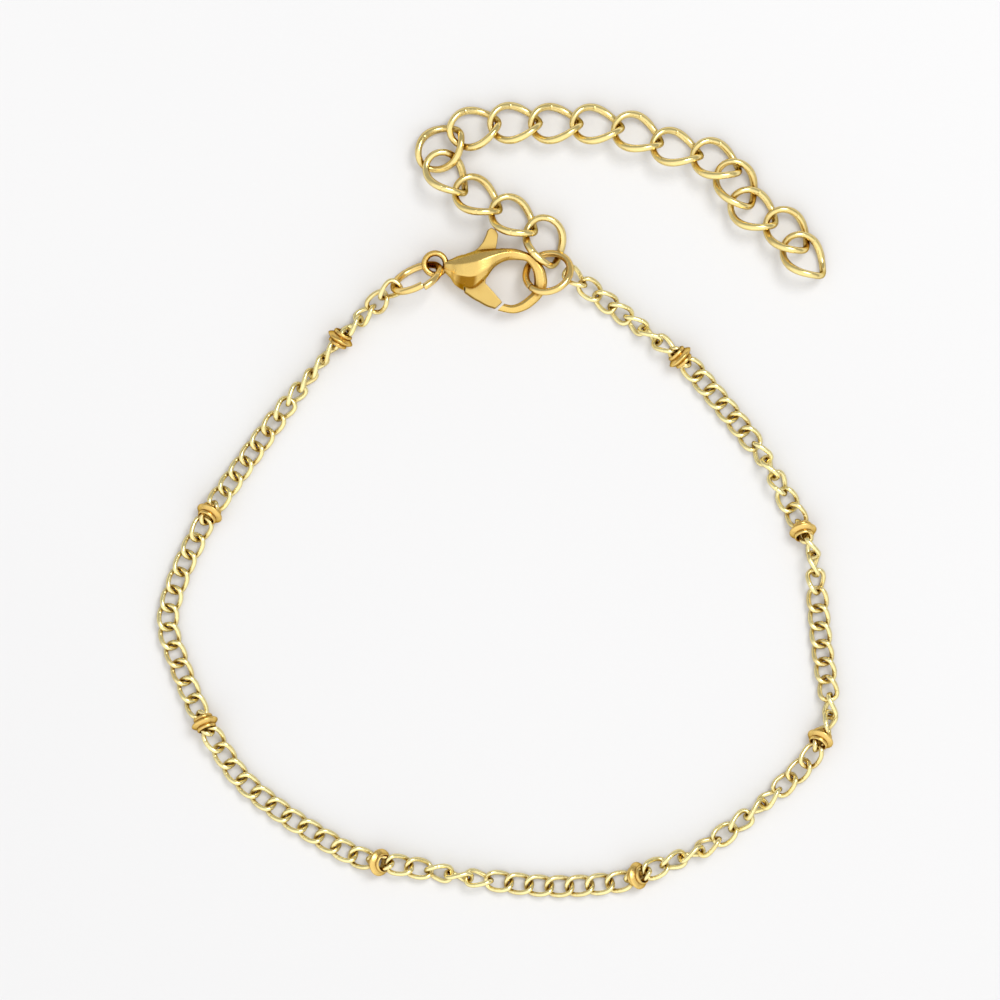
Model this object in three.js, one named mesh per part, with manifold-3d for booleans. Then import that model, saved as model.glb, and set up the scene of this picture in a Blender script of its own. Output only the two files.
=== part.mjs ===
// A satellite chain bracelet lying closed on a flat surface: a fine curb chain with small ring
// beads along it, a lobster clasp with a sprung lever, and an extender of large curb links.
// Millimetres, +Z up, the surface at z = 0, the origin under the middle of the bracelet's box.
import * as THREE from "three";
import { LoftGeometry } from "three/addons/geometries/LoftGeometry.js";
import { mergeVertices } from "three/addons/utils/BufferGeometryUtils.js";
import Module from "manifold-3d";

const wasm = await Module();
wasm.setup();

// ---- driving dimensions ----

// The fine chain is one tube about as thick as its turning links are on average.
const CHAIN_DIAMETER = 1.0;
const CHAIN_SIDES = 8;
const CHAIN_STEPS = 78;

const BEAD_DIAMETER = 2.3;
const BEAD_FACE_DIAMETER = 2.0;
const BEAD_BORE = 1.8;
const BEAD_LENGTH = 0.9;

// Extender links: half length and half width of the wire's centre line, and the curb twist.
const LINK_HALF_LENGTH = 1.99;
const LINK_HALF_WIDTH = 1.64;
const LINK_WIRE = 0.5;
const LINK_TWIST = -36;
const LINK_STEPS = 24;
const LINK_SIDES = 6;

const RING_SIDES = 8;
const RING_STEPS = 28;
// Where each ring's middle is, the radius of its wire's centre line, how far it leans,
// and the heading of the line that it leans about.
const RINGS = {
  end_ring: { x: 4.0, y: 18.93, z: 1.68, radius: 1.9, wire: 0.62, lean: 35, heading: 24 },
  clasp_ring: { x: -6.93, y: 18.45, z: 2.16, radius: 2.05, wire: 0.6, lean: 65, heading: 25 },
};

// The clasp lies flat with its middle plane at this height, half its thickness.
const CLASP_MIDDLE = 1.5;
const EYE = { x: -5.4, y: 19.64, radius: 0.92, wire: 0.46, height: 1.1 };
const PIVOT = { x: -2.0, y: 19.17 };
const PIN_DIAMETER = 0.7;
const LEVER_BORE = 0.9;
const LEVER_THICKNESS = 0.9;
const SLOT_HEIGHT = 1.3;

// ---- finishes ----

const CHAIN_GOLD = new THREE.MeshStandardMaterial({ color: 0xe8d06c, roughness: 0.25, metalness: 1 });
const BEAD_GOLD = new THREE.MeshStandardMaterial({ color: 0xd9a93a, roughness: 0.3, metalness: 1 });
const RING_GOLD = new THREE.MeshStandardMaterial({ color: 0xe2bc4c, roughness: 0.2, metalness: 1 });
const CLASP_GOLD = new THREE.MeshStandardMaterial({ color: 0xdcae3c, roughness: 0.22, metalness: 1 });

// ---- the lie of the pieces ----

// The fine chain's centre line, from the clasp ring round to the end ring.
const CHAIN_ROUTE = [
  [-9.3, 17.4, 1.5],
  [-11.2, 15.5, 0.75],
  [-13.3, 13.45, 1.2],
  [-14.8, 11.6, 0.7],
  [-18.8, 6.5, 0.53],
  [-22.9, 0.8, 0.7],
  [-24.2, -1.1, 1.2],
  [-25.2, -3.0, 0.7],
  [-26.8, -6.5, 0.53],
  [-27.7, -10.2, 0.53],
  [-26.7, -13.8, 0.53],
  [-25.5, -16.8, 0.7],
  [-24.6, -18.6, 1.2],
  [-23.5, -20.4, 0.7],
  [-21.6, -23.2, 0.53],
  [-18.4, -25.9, 0.53],
  [-14.8, -28.2, 0.53],
  [-12.0, -29.7, 0.7],
  [-10.0, -30.2, 1.25],
  [-7.9, -30.5, 0.7],
  [-3.0, -31.4, 0.53],
  [4.0, -32.2, 0.53],
  [9.5, -31.9, 0.7],
  [11.5, -31.3, 1.25],
  [13.4, -30.5, 0.7],
  [17.2, -28.9, 0.53],
  [21.2, -25.9, 0.53],
  [25.2, -22.3, 0.7],
  [26.7, -19.9, 1.2],
  [27.5, -17.6, 0.7],
  [26.8, -11.8, 0.53],
  [26.1, -4.7, 0.7],
  [25.25, -2.6, 1.2],
  [24.4, -0.8, 0.7],
  [21.6, 4.1, 0.53],
  [16.5, 10.4, 0.7],
  [15.0, 11.9, 1.2],
  [13.3, 13.2, 0.75],
  [9.8, 15.8, 0.6],
  [6.3, 18.5, 1.7],
];

// Each bead's middle, the heading of its bore and how far that end of the bore is raised.
const BEADS = [
  { x: -13.3, y: 13.45, heading: 56, raised: 8 },
  { x: -24.2, y: -1.1, heading: 58, raised: -12 },
  { x: -24.6, y: -18.6, heading: -64, raised: 4 },
  { x: -10.0, y: -30.2, heading: -12, raised: 15 },
  { x: 11.5, y: -31.3, heading: 20, raised: 15 },
  { x: 26.7, y: -19.9, heading: 58, raised: -12 },
  { x: 25.25, y: -2.6, heading: 106, raised: -14 },
  { x: 15.0, y: 11.9, heading: 130, raised: 8 },
];

// The extender's links from the end ring outwards: each link's middle, the heading of its
// length and its roll about that length. Each lies on the surface.
const EXTENDER_LINKS = [
  { x: 3.9, y: 21.6, heading: 102, roll: 22 },
  { x: 1.3, y: 23.4, heading: 142, roll: 34 },
  { x: -1.6, y: 25.1, heading: 148, roll: 36 },
  { x: -4.2, y: 27.2, heading: 135, roll: 32 },
  { x: -4.9, y: 29.5, heading: 38, roll: -10 },
  { x: -2.2, y: 31.1, heading: 17, roll: -20 },
  { x: 1.1, y: 31.5, heading: 0, roll: -30 },
  { x: 4.4, y: 31.5, heading: 0, roll: -33 },
  { x: 7.8, y: 31.3, heading: -6, roll: -34 },
  { x: 11.1, y: 30.6, heading: -16, roll: -36 },
  { x: 14.2, y: 29.35, heading: -20, roll: -36 },
  { x: 17.4, y: 28.3, heading: -28, roll: -32 },
  { x: 19.8, y: 26.2, heading: -55, roll: -24 },
  { x: 21.3, y: 24.0, heading: -32, roll: -25 },
  { x: 23.9, y: 22.4, heading: -42, roll: -25 },
  { x: 25.5, y: 20.2, heading: -42, roll: -32 },
];

// The clasp's claw, section by section from the eye to the hook's tip: the ends of each
// section on the claw's outer and inner edge, and the heights of its under and upper face.
const CLAW_SECTIONS = [
  { outer: [-4.33, 19.92], inner: [-4.5, 18.85], low: 0.8, high: 2.2 },
  { outer: [-3.67, 20.25], inner: [-3.92, 17.95], low: 0.4, high: 2.6 },
  { outer: [-2.92, 20.5], inner: [-3.17, 17.4], low: 0, high: 2.95 },
  { outer: [-2.0, 20.79], inner: [-2.5, 16.92], low: 0, high: 3.0 },
  { outer: [-1.33, 20.89], inner: [-1.83, 17.58], low: 0, high: 3.0 },
  { outer: [-0.5, 20.96], inner: [-1.08, 18.54], low: 0.15, high: 2.85 },
  { outer: [0.33, 20.95], inner: [-0.42, 19.42], low: 0.4, high: 2.6 },
  { outer: [1.17, 20.92], inner: [0.5, 19.92], low: 0.7, high: 2.35 },
  { outer: [1.92, 20.73], inner: [1.42, 19.98], low: 0.95, high: 2.15 },
  { outer: [2.67, 20.42], inner: [2.2, 19.86], low: 1.1, high: 2.1 },
  { outer: [3.35, 19.8], inner: [2.62, 19.36], low: 1.12, high: 2.07 },
  { outer: [3.8, 19.0], inner: [2.82, 18.7], low: 1.1, high: 2.05 },
  { outer: [3.92, 17.92], inner: [2.83, 17.92], low: 1.05, high: 2.0 },
  { outer: [3.58, 17.08], inner: [2.63, 17.29], low: 1.0, high: 2.0 },
  { outer: [3.0, 16.42], inner: [2.33, 16.96], low: 1.0, high: 2.02 },
  { outer: [2.17, 15.83], inner: [1.67, 16.46], low: 1.0, high: 2.02 },
  { outer: [1.08, 15.54], inner: [1.0, 16.23], low: 1.0, high: 2.0 },
  { outer: [0.17, 15.67], inner: [0.38, 16.35], low: 1.03, high: 1.97 },
];

// Half of a claw section, as shares of its half width and half thickness: flat edges and
// faces with a chamfer between them. The other half mirrors it.
const CLAW_PROFILE = [
  [1, -0.38],
  [1, 0.38],
  [0.74, 0.8],
  [0.34, 1],
];

// The room that the lever sweeps inside the claw, seen from above.
const SLOT_OUTLINE = [
  [-0.02, 21.6],
  [-0.02, 20.7],
  [-0.75, 19.5],
  [-0.7, 18.9],
  [0.6, 18.4],
  [0.6, 15.4],
  [-3.0, 16.0],
  [-3.6, 17.4],
  [-3.15, 18.6],
  [-3.1, 19.9],
  [-3.4, 21.6],
];

// The lever's outline with the clasp shut: arm, back, thumb tab.
const LEVER_OUTLINE = [
  [0.2, 16.46],
  [-0.08, 15.96],
  [-1.05, 16.22],
  [-2.14, 16.82],
  [-2.9, 17.35],
  [-2.85, 18.9],
  [-2.75, 19.8],
  [-2.3, 20.6],
  [-1.67, 21.15],
  [-1.33, 21.8],
  [-1.1, 22.5],
  [-0.85, 22.75],
  [-0.45, 22.55],
  [-0.28, 22.15],
  [-0.3, 20.95],
  [-1.0, 19.5],
  [-1.15, 18.6],
  [-1.2, 18.05],
  [-0.55, 17.3],
];

// ---- shapes ----

const radians = THREE.MathUtils.degToRad;

// A closed geometry as a solid to join and cut.
function solidOf(geometry) {
  geometry.deleteAttribute("normal");
  geometry.deleteAttribute("uv");
  const merged = mergeVertices(geometry);
  return new wasm.Manifold(
    new wasm.Mesh({
      numProp: 3,
      vertProperties: merged.attributes.position.array,
      triVerts: new Uint32Array(merged.index.array),
    }),
  );
}

// A joined or cut solid as a geometry again.
function geometryOf(solid) {
  const mesh = solid.getMesh();
  const geometry = new THREE.BufferGeometry();
  geometry.setAttribute("position", new THREE.BufferAttribute(mesh.vertProperties, 3));
  geometry.setIndex(new THREE.BufferAttribute(mesh.triVerts, 1));
  geometry.computeVertexNormals();
  return geometry;
}

function meshOf(name, geometry, material) {
  const mesh = new THREE.Mesh(geometry, material);
  mesh.name = name;
  return mesh;
}

// A plate of the given outline, level, between two heights.
function plate(outline, low, high) {
  const shape = new THREE.Shape(outline.map(([x, y]) => new THREE.Vector2(x, y)));
  const geometry = new THREE.ExtrudeGeometry(shape, { depth: high - low, bevelEnabled: false });
  return geometry.translate(0, 0, low);
}

// An upright round bar between two heights.
function bar(diameter, low, high, sides) {
  const geometry = new THREE.CylinderGeometry(diameter / 2, diameter / 2, high - low, sides);
  geometry.rotateX(Math.PI / 2);
  return geometry.translate(PIVOT.x, PIVOT.y, (low + high) / 2);
}

// The centre line of a curb link: an oval whose wire leans one way at one end and the other
// way at the other, so that the link lies flat when it hangs in its neighbours.
class CurbLine extends THREE.Curve {
  constructor(roll) {
    super();
    this.roll = roll;
  }

  getPoint(share, target = new THREE.Vector3()) {
    const angle = share * 2 * Math.PI;
    const lean = radians(this.roll + LINK_TWIST * Math.cos(angle));
    const side = LINK_HALF_WIDTH * Math.sin(angle);
    const along = LINK_HALF_LENGTH * Math.cos(angle);
    return target.set(along, side * Math.cos(lean), side * Math.sin(lean));
  }
}

function extenderLink(name, { x, y, heading, roll }) {
  const line = new CurbLine(roll);
  const lowest = Math.min(...line.getPoints(4 * LINK_STEPS).map((point) => point.z));
  // A closed tube meets itself, so it has no open ends.
  const wire = new THREE.TubeGeometry(line, LINK_STEPS, LINK_WIRE / 2, LINK_SIDES, true);
  const mesh = meshOf(name, wire, CHAIN_GOLD);
  mesh.position.set(x, y, LINK_WIRE / 2 - lowest);
  mesh.rotation.z = radians(heading);
  return mesh;
}

function ring(name, { x, y, z, radius, wire, lean, heading }) {
  const mesh = meshOf(name, new THREE.TorusGeometry(radius, wire / 2, RING_SIDES, RING_STEPS), RING_GOLD);
  mesh.position.set(x, y, z);
  mesh.rotation.set(-radians(lean), 0, radians(heading), "ZYX");
  return mesh;
}

function chain() {
  const points = CHAIN_ROUTE.map(([x, y, z]) => new THREE.Vector3(x, y, z));
  const section = new THREE.Shape();
  section.absarc(0, 0, CHAIN_DIAMETER / 2, 0, 2 * Math.PI);
  const geometry = new THREE.ExtrudeGeometry(section, {
    steps: CHAIN_STEPS,
    curveSegments: CHAIN_SIDES / 2,
    extrudePath: new THREE.CatmullRomCurve3(points),
  });
  return meshOf("chain", geometry, CHAIN_GOLD);
}

// A short ring, widest round its middle and narrower at both faces.
function beadGeometry() {
  const end = BEAD_LENGTH / 2;
  const profile = [
    [BEAD_BORE / 2, -end],
    [BEAD_FACE_DIAMETER / 2, -end],
    [BEAD_DIAMETER / 2, 0],
    [BEAD_FACE_DIAMETER / 2, end],
    [BEAD_BORE / 2, end],
    [BEAD_BORE / 2, -end],
  ];
  return new THREE.LatheGeometry(
    profile.map(([radius, along]) => new THREE.Vector2(radius, along)),
    16,
  );
}

function bead(name, { x, y, heading, raised }) {
  const level = Math.cos(radians(raised));
  const bore = new THREE.Vector3(
    level * Math.cos(radians(heading)),
    level * Math.sin(radians(heading)),
    Math.sin(radians(raised)),
  );
  const mesh = meshOf(name, beadGeometry(), BEAD_GOLD);
  mesh.quaternion.setFromUnitVectors(new THREE.Vector3(0, 1, 0), bore);
  const equatorDrop = (BEAD_DIAMETER / 2) * level;
  const faceDrop = (BEAD_FACE_DIAMETER / 2) * level + (BEAD_LENGTH / 2) * Math.abs(bore.z);
  mesh.position.set(x, y, Math.max(equatorDrop, faceDrop));
  return mesh;
}

// One section of the claw: the profile and its mirror image, stretched between the edges.
function clawSection({ outer, inner, low, high }) {
  const points = [];
  for (const side of [1, -1]) {
    for (const [across, up] of CLAW_PROFILE) {
      const share = (1 + side * across) / 2;
      points.push(
        new THREE.Vector3(
          inner[0] + (outer[0] - inner[0]) * share,
          inner[1] + (outer[1] - inner[1]) * share,
          low + ((high - low) * (1 + side * up)) / 2,
        ),
      );
    }
  }
  return points;
}

// Eye, claw and the pin that the lever turns on are one piece of metal.
function claspBody() {
  const claw = solidOf(
    new LoftGeometry(CLAW_SECTIONS.map(clawSection), { capStart: true, capEnd: true }),
  );
  const eyeRing = new THREE.TorusGeometry(EYE.radius, EYE.wire / 2, 8, 24);
  eyeRing.scale(1, 1, EYE.height / EYE.wire);
  eyeRing.translate(EYE.x, EYE.y, CLASP_MIDDLE);
  const slot = plate(SLOT_OUTLINE, CLASP_MIDDLE - SLOT_HEIGHT / 2, CLASP_MIDDLE + SLOT_HEIGHT / 2);
  const pin = bar(PIN_DIAMETER, CLASP_MIDDLE - SLOT_HEIGHT, CLASP_MIDDLE + SLOT_HEIGHT, 16);
  const body = claw.add(solidOf(eyeRing)).subtract(solidOf(slot)).add(solidOf(pin));
  return meshOf("clasp_body", geometryOf(body), CLASP_GOLD);
}

function claspLever() {
  const low = CLASP_MIDDLE - LEVER_THICKNESS / 2;
  const high = CLASP_MIDDLE + LEVER_THICKNESS / 2;
  const lever = solidOf(plate(LEVER_OUTLINE, low, high));
  const bore = solidOf(bar(LEVER_BORE, low - 1, high + 1, 16));
  return meshOf("clasp_lever", geometryOf(lever.subtract(bore)), CLASP_GOLD);
}

// ---- the bracelet ----

const bracelet = new THREE.Group();
bracelet.add(chain(), claspBody(), claspLever());
for (const [name, place] of Object.entries(RINGS)) {
  bracelet.add(ring(name, place));
}
BEADS.forEach((place, index) => {
  bracelet.add(bead(`bead_${index + 1}`, place));
});
EXTENDER_LINKS.forEach((place, index) => {
  const number = String(index + 1).padStart(2, "0");
  bracelet.add(extenderLink(`extender_link_${number}`, place));
});

export default bracelet;
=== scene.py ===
"""A satellite chain bracelet in gold-plated brass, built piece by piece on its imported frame."""

import math
import random

import bpy
from bpy.props import FloatProperty, FloatVectorProperty, IntProperty, PointerProperty
from mathutils import Matrix, Vector


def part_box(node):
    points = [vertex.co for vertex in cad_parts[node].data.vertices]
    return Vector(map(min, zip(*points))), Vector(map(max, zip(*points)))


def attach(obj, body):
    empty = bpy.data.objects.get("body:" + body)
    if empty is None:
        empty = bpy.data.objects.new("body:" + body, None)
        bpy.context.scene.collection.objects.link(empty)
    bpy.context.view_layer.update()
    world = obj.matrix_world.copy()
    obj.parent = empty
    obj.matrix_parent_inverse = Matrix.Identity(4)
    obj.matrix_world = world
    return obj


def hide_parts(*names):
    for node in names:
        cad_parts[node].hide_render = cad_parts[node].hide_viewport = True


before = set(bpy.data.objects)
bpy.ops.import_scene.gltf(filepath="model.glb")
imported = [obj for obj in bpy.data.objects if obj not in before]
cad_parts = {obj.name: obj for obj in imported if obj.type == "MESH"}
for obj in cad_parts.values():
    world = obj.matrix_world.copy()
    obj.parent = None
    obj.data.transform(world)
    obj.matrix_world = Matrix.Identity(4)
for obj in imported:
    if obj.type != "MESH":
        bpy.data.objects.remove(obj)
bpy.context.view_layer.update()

bl_info = {
    "name": "Satellite chain bracelet",
    "version": (1, 0, 0),
    "blender": (4, 5, 0),
    "location": "3D View > Sidebar > Bracelet",
    "description": "Builds a satellite chain bracelet with a lobster clasp, one group of pieces at a time",
    "category": "Object",
}

MM = 0.001

# ---- the lie of the pieces, in millimetres and degrees ----

# The fine chain's centre line, from the clasp ring round to the end ring.
CHAIN_ROUTE = [
    (-9.15, 17.4, 1.95),
    (-11.2, 15.5, 0.95),
    (-13.3, 13.45, 1.2),
    (-14.8, 11.6, 0.7),
    (-18.8, 6.5, 0.53),
    (-22.9, 0.8, 0.7),
    (-24.2, -1.1, 1.2),
    (-25.2, -3.0, 0.7),
    (-26.8, -6.5, 0.53),
    (-27.7, -10.2, 0.53),
    (-26.7, -13.8, 0.53),
    (-25.5, -16.8, 0.7),
    (-24.6, -18.6, 1.2),
    (-23.5, -20.4, 0.7),
    (-21.6, -23.2, 0.53),
    (-18.4, -25.9, 0.53),
    (-14.8, -28.2, 0.53),
    (-12.0, -29.7, 0.7),
    (-10.0, -30.2, 1.25),
    (-7.9, -30.5, 0.7),
    (-3.0, -31.4, 0.53),
    (4.0, -32.2, 0.53),
    (9.5, -31.9, 0.7),
    (11.5, -31.3, 1.25),
    (13.4, -30.5, 0.7),
    (17.2, -28.9, 0.53),
    (21.2, -25.9, 0.53),
    (25.2, -22.3, 0.7),
    (26.7, -19.9, 1.2),
    (27.5, -17.6, 0.7),
    (26.8, -11.8, 0.53),
    (26.1, -4.7, 0.7),
    (25.25, -2.6, 1.2),
    (24.4, -0.8, 0.7),
    (21.6, 4.1, 0.53),
    (16.5, 10.4, 0.7),
    (15.0, 11.9, 1.2),
    (13.3, 13.2, 0.75),
    (9.8, 15.8, 0.7),
    (6.3, 18.5, 1.3),
]

# Each stretch of fine chain: how its links roll about the chain, one number a link, in
# order, the last one inside the bead or end ring. A link lies flat at 0 or 180 and stands
# on edge at 90. The chain can unwind quickly from link to link, and hardly wind tighter.
CHAIN_RUNS = [
    [-40, 8, 56, 84, 96],
    [92, 96, 106, 124, 142, 158, 170, 175, 175, 175, 175, 185],
    [165, 172, 175, 175, 175, 175, 175, 175, 175, 175, 175, 185],
    [170, 175, 175, 175, 175, 175, 175, 175, 175, 175, 175, 185],
    [172, 175, 42, 86, 130, 172, 175, 175, 175, 175, 175, 175, 185],
    [175, 40, 84, 128, 168, 32, 76, 120, 164, 175, 175, 205],
    [68, 112, 154, 172, 172, 172, 172, 175, 38, 76, 106, 130],
    [165, 175, 42, 86, 130, 172, 175, 175, 175, 175, 175, 190],
    [52, 88, 120, 140, 150, 188, 228],
]

# The beads in order: the heading of the bore and how far its far end is raised.
BEADS = [
    {"heading": 58, "raised": 12},
    {"heading": 58, "raised": -30},
    {"heading": -68, "raised": 18},
    {"heading": -8, "raised": 46},
    {"heading": 14, "raised": 38},
    {"heading": 60, "raised": -32},
    {"heading": 102, "raised": -32},
    {"heading": 134, "raised": 10},
]

# The extender's links from the end ring outwards: middle, heading of the length and roll.
EXTENDER_LINKS = [
    (3.8, 21.5, 106, 26),
    (1.2, 23.5, 144, 34),
    (-1.8, 25.2, 148, 36),
    (-4.35, 27.1, 132, 36),
    (-4.95, 29.35, 41, -12),
    (-2.15, 31.0, 13, -21),
    (1.25, 31.4, 0, -30),
    (4.65, 31.35, 0, -33),
    (8.1, 31.25, -7, -34),
    (11.5, 30.5, -23, -33),
    (14.75, 29.25, -17, -39),
    (18.05, 28.25, -27, -32),
    (19.75, 26.25, -59, -23),
    (21.15, 24.1, -32, -25),
    (24.0, 22.35, -46, -25),
    (25.4, 20.25, -47, -29),
]

# The two jump rings: the radius of the wire's middle, the wire, how far the ring leans about
# its heading, where round it the saw cut is, and how far apart pliers left the cut ends.
RINGS = {
    "end_ring": {
        "radius": 1.9,
        "wire": 0.6,
        "lean": 35,
        "heading": 24,
        "cut_at": 200,
        "gape": 0.03,
    },
    "clasp_ring": {
        "radius": 2.05,
        "wire": 0.6,
        "lean": 65,
        "heading": 25,
        "cut_at": 276,
        "gape": 0.13,
    },
}
RING_HALF_CUT = 0.02

# The clasp's claw from the eye to the hook's tip: the ends of each section on the claw's
# outer and inner edge, the heights of its under and upper face, and how far the inner
# shoulder is cut back into a sloping cheek, from 0 to 1.
CLAW_SECTIONS = [
    ((-4.5, 19.9), (-4.62, 18.95), 0.82, 2.2, 0.0),
    ((-4.0, 20.08), (-4.15, 18.5), 0.66, 2.36, 0.3),
    ((-3.62, 20.27), (-3.85, 18.02), 0.45, 2.55, 0.6),
    ((-3.4, 20.34), (-3.64, 17.83), 0.34, 2.66, 0.8),
    ((-2.92, 20.5), (-3.17, 17.52), 0.14, 2.84, 1.0),
    ((-2.0, 20.79), (-2.45, 17.27), 0.03, 3.0, 1.0),
    ((-1.33, 20.89), (-1.8, 17.75), 0.03, 3.0, 0.45),
    ((-0.5, 20.96), (-1.08, 18.54), 0.15, 2.85, 0.0),
    ((0.33, 20.95), (-0.42, 19.42), 0.4, 2.6, 0.0),
    ((1.17, 20.92), (0.5, 19.92), 0.7, 2.35, 0.0),
    ((1.92, 20.73), (1.42, 19.98), 0.95, 2.15, 0.0),
    ((2.67, 20.42), (2.2, 19.86), 1.1, 2.1, 0.0),
    ((3.35, 19.8), (2.62, 19.36), 1.12, 2.07, 0.0),
    ((3.8, 19.0), (2.82, 18.7), 1.1, 2.05, 0.0),
    ((3.92, 17.92), (2.83, 17.92), 1.05, 2.0, 0.0),
    ((3.58, 17.08), (2.63, 17.29), 1.0, 2.0, 0.0),
    ((3.0, 16.42), (2.33, 16.96), 1.0, 2.02, 0.0),
    ((2.17, 15.83), (1.67, 16.46), 1.0, 2.02, 0.0),
    ((1.08, 15.54), (1.0, 16.23), 1.0, 2.0, 0.0),
    ((-0.2, 15.78), (0.36, 16.34), 1.02, 1.98, 0.0),
]

# The claw's section in half widths from its middle (1 is the outer edge) and half
# heights, from the outer edge over the top: flat walls and faces with chamfers between.
# The second pair of numbers is how far a full cheek moves the point.
CLAW_PROFILE = [
    (1.0, -0.3, 0.0, 0.0),
    (1.0, 0.3, 0.0, 0.0),
    (0.82, 0.8, 0.0, 0.0),
    (0.42, 1.0, 0.0, 0.0),
    (-0.34, 1.0, 0.1, -0.03),
    (-0.74, 0.8, 0.0, -0.3),
    (-1.0, 0.38, 0.0, -0.34),
    (-1.0, -0.38, 0.0, 0.0),
    (-0.74, -0.8, 0.0, 0.0),
    (-0.34, -1.0, 0.0, 0.0),
    (0.42, -1.0, 0.0, 0.0),
    (0.82, -0.8, 0.0, 0.0),
]
CHEEK_CORNERS = (4, 5, 6)

# The room that the lever sweeps inside the claw, and the lever's outline with the clasp
# shut: arm, back and thumb tab.
SLOT_OUTLINE = [
    (-0.02, 21.6),
    (-0.02, 20.7),
    (-0.75, 19.5),
    (-0.7, 18.9),
    (-0.4, 17.6),
    (-0.6, 15.6),
    (-3.0, 16.0),
    (-3.0, 17.25),
    (-3.0, 19.9),
    (-3.3, 21.6),
]
LEVER_OUTLINE = [
    (0.2, 16.46),
    (-0.34, 15.98),
    (-1.05, 16.22),
    (-2.14, 16.82),
    (-2.9, 17.35),
    (-2.85, 18.9),
    (-2.75, 19.8),
    (-2.3, 20.6),
    (-1.79, 21.0),
    (-1.38, 21.5),
    (-1.13, 22.05),
    (-0.98, 22.5),
    (-0.72, 22.68),
    (-0.35, 22.5),
    (-0.15, 22.1),
    (-0.22, 21.5),
    (-0.32, 20.95),
    (-1.0, 19.5),
    (-1.15, 18.6),
    (-1.2, 18.05),
    (-0.55, 17.35),
]
CLASP_MIDDLE = 1.5
SLOT_HEIGHT = 1.05
LEVER_THICKNESS = 0.9
# How far the lever's under face lies beside its upper face, and the size of its broken edges.
LEVER_LEAN = (-0.1, -0.09)
LEVER_BEVEL = 0.07
PIVOT = (-2.0, 19.17)
PIN_DIAMETER = 0.7
PIN_LENGTH = 2.0
PIN_PLAY = 0.04
EYE = {"x": -5.4, "y": 19.66, "radius": 0.88, "half_wall": 0.25, "half_height": 0.55}
# Edges of the clasp that turn by more degrees than this stay crisp.
CLASP_SHARP = 32

# How a curb link's wire leans: this far one way at one end, and back at the other.
FINE_TWIST = -36
EXTENDER_TWIST = -36
# The fine links are ovals, squarer than an ellipse, which has a fullness of 2.
FINE_FULLNESS = 2.8
# How far a fine link may be rolled from where its place in the chain would have it.
ROLL_SPREAD = 3
# Where round a link, in radians, the wire's ends meet, and half the hair's gap between them.
LINK_SEAM = 1.9
SEAM_HALF_GAP = 0.002
# How much thicker the extender's wire is along a link's sides, as a share of its radius.
EXTENDER_SWELL = 0.18
# The link inside a bead is squeezed narrower and longer, and still lets its neighbours'
# wire through.
IN_BEAD_HALF_WIDTH = 0.5
IN_BEAD_STRETCH = 0.03
IN_BEAD_TWIST = -58
# How thick the hub's wall is round a bead's bore.
BEAD_HUB = 0.18
# How far the chain climbs for each millimetre through a bead that stands straight up, and
# within what length it has come down again.
BEAD_CLIMB = 0.6
BEAD_REACH = 2.0
# A link points from this far behind it on the chain's line to this far ahead.
LOOK_AHEAD = 0.8


def linear(hex_colour):
    """The linear RGB of an sRGB colour written as 0xRRGGBB."""
    channels = [(hex_colour >> shift & 255) / 255 for shift in (16, 8, 0)]
    return tuple(c / 12.92 if c <= 0.04045 else ((c + 0.055) / 1.055) ** 2.4 for c in channels)


# ---- what a user would change ----


class BraceletSizes(bpy.types.PropertyGroup):
    fine_wire: FloatProperty(
        name="Fine wire",
        description="Diameter of the wire of the fine chain's links",
        default=0.4 * MM,
        subtype="DISTANCE",
        unit="LENGTH",
    )
    fine_play: FloatProperty(
        name="Fine link play",
        description="How much longer a fine link is than it needs to be",
        default=0.02 * MM,
        subtype="DISTANCE",
        unit="LENGTH",
    )
    fine_width: FloatProperty(
        name="Fine link width",
        description="Outside width of a fine link",
        default=1.88 * MM,
        subtype="DISTANCE",
        unit="LENGTH",
    )
    extender_wire: FloatProperty(
        name="Extender wire",
        description="Diameter of the wire of the extender's links",
        default=0.55 * MM,
        subtype="DISTANCE",
        unit="LENGTH",
    )
    extender_length: FloatProperty(
        name="Extender link length",
        description="Outside length of an extender link",
        default=4.65 * MM,
        subtype="DISTANCE",
        unit="LENGTH",
    )
    extender_width: FloatProperty(
        name="Extender link width",
        description="Outside width of an extender link",
        default=3.81 * MM,
        subtype="DISTANCE",
        unit="LENGTH",
    )
    bead_diameter: FloatProperty(
        name="Bead diameter",
        description="Diameter round a bead's middle",
        default=2.3 * MM,
        subtype="DISTANCE",
        unit="LENGTH",
    )
    bead_bore: FloatProperty(
        name="Bead bore",
        description="Diameter of the hole that the chain runs through",
        default=1.3 * MM,
        subtype="DISTANCE",
        unit="LENGTH",
    )
    bead_length: FloatProperty(
        name="Bead length",
        description="Length of a bead along the chain",
        default=1.2 * MM,
        subtype="DISTANCE",
        unit="LENGTH",
    )
    seed: IntProperty(
        name="Seed",
        description="Starts the small differences from link to link",
        default=7,
        min=0,
    )


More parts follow.
